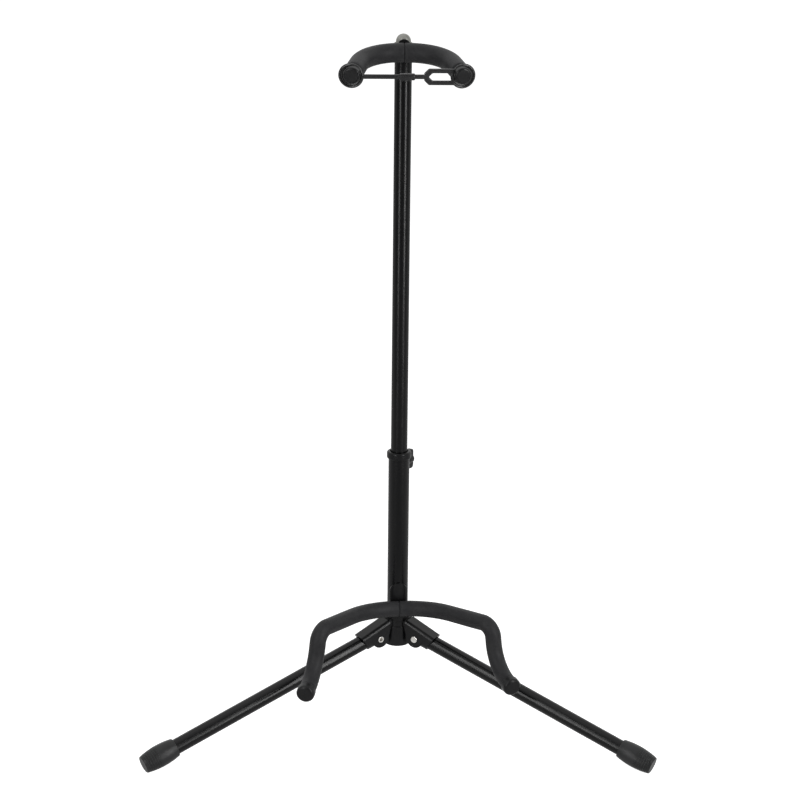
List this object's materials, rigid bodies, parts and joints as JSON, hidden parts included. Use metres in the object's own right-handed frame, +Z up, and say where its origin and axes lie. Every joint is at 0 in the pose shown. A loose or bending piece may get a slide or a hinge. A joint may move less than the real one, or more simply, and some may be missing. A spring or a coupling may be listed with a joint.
{
  "type": "folding guitar stand",
  "caption": "Tubular tripod floor stand for a guitar: folding legs, sliding height-clamped mast, padded cradle arms, and a padded swivelling neck yoke with a rubber strap.",
  "frame": {"origin": "middle of the stand's footprint on the floor, at rest", "axes": "+Z up along the mast, the cradle and yoke open towards -Y, +X to the right as seen from the front"},
  "size_m": [0.5274, 0.4586, 0.7276],
  "materials": {
    "gloss_black_steel": "glossy powder coat",
    "black_sheet": "satin paint on pressed steel",
    "bare_rod": "plain black paint under the foam",
    "zinc_steel": "bright zinc plating",
    "rivet_steel": "bright nickel plating",
    "black_moulding": "fine satin grain",
    "bush_plastic": "smooth satin gloss",
    "foam": "matte closed-cell foam",
    "foot_rubber": "satin moulded rubber",
    "strap_rubber": "smooth rubber"
  },
  "bodies": {
    "base": {"hub": "black_moulding", "hub_screw": "zinc_steel", "tube_end_plug": "black_moulding", "lower_tube": "gloss_black_steel", "height_collar": "bush_plastic", "clamp_boss": "gloss_black_steel", "cradle_bracket": "black_sheet", "cradle_rod": "bare_rod", "cradle_foam_left": "foam", "cradle_foam_right": "foam", "cradle_cap_left": "black_moulding", "cradle_cap_right": "black_moulding"},
    "clamp_screw": {"clamp_stud": "zinc_steel", "clamp_wing": "black_moulding"},
    "mast": {"mast_tube": "gloss_black_steel", "mast_end_bush": "bush_plastic", "yoke_hub": "black_moulding", "swivel_bolt": "zinc_steel", "friction_washer": "bush_plastic", "upper_washer": "zinc_steel", "cap_nut": "zinc_steel"},
    "yoke": {"yoke_bracket": "black_sheet", "yoke_rod": "bare_rod", "yoke_foam_left": "foam", "yoke_foam_right": "foam", "yoke_cap_left": "black_moulding", "yoke_cap_right": "black_moulding", "neck_strap": "strap_rubber"},
    "leg_left": {"leg_tube_left": "gloss_black_steel", "leg_knuckle_left": "black_moulding", "leg_rivet_left": "rivet_steel", "foot_left": "foot_rubber"},
    "leg_right": {"leg_tube_right": "gloss_black_steel", "leg_knuckle_right": "black_moulding", "leg_rivet_right": "rivet_steel", "foot_right": "foot_rubber"},
    "leg_rear": {"leg_tube_rear": "gloss_black_steel", "leg_knuckle_rear": "black_moulding", "leg_rivet_rear": "rivet_steel", "foot_rear": "foot_rubber"}
  },
  "joints": [
    {"name": "leg_left_fold", "type": "hinge", "parent": "base", "child": "leg_left", "pos_m": [-0.02252, -0.08511, 0.09069], "axis": [0.5, -0.866, 0], "range_deg": [0, 72]},
    {"name": "leg_right_fold", "type": "hinge", "parent": "base", "child": "leg_right", "pos_m": [0.02252, -0.08511, 0.09069], "axis": [0.5, 0.866, 0], "range_deg": [0, 72]},
    {"name": "leg_rear_fold", "type": "hinge", "parent": "base", "child": "leg_rear", "pos_m": [0.0005, -0.04611, 0.09069], "axis": [-0.9998, 0.0192, 0], "range_deg": [0, 72]},
    {"name": "mast_slide", "type": "slide", "parent": "base", "child": "mast", "axis": [0, 0, 1], "range_m": [-0.075, 0.071]},
    {"name": "yoke_swivel", "type": "hinge", "parent": "mast", "child": "yoke", "pos_m": [0, -0.07211, 0.7095], "axis": [0, 0, 1], "continuous": true},
    {"name": "clamp_screw_turn", "type": "hinge", "parent": "base", "child": "clamp_screw", "pos_m": [0, -0.07211, 0.28149], "axis": [0.5635, 0.8261, 0], "continuous": true}
  ]
}
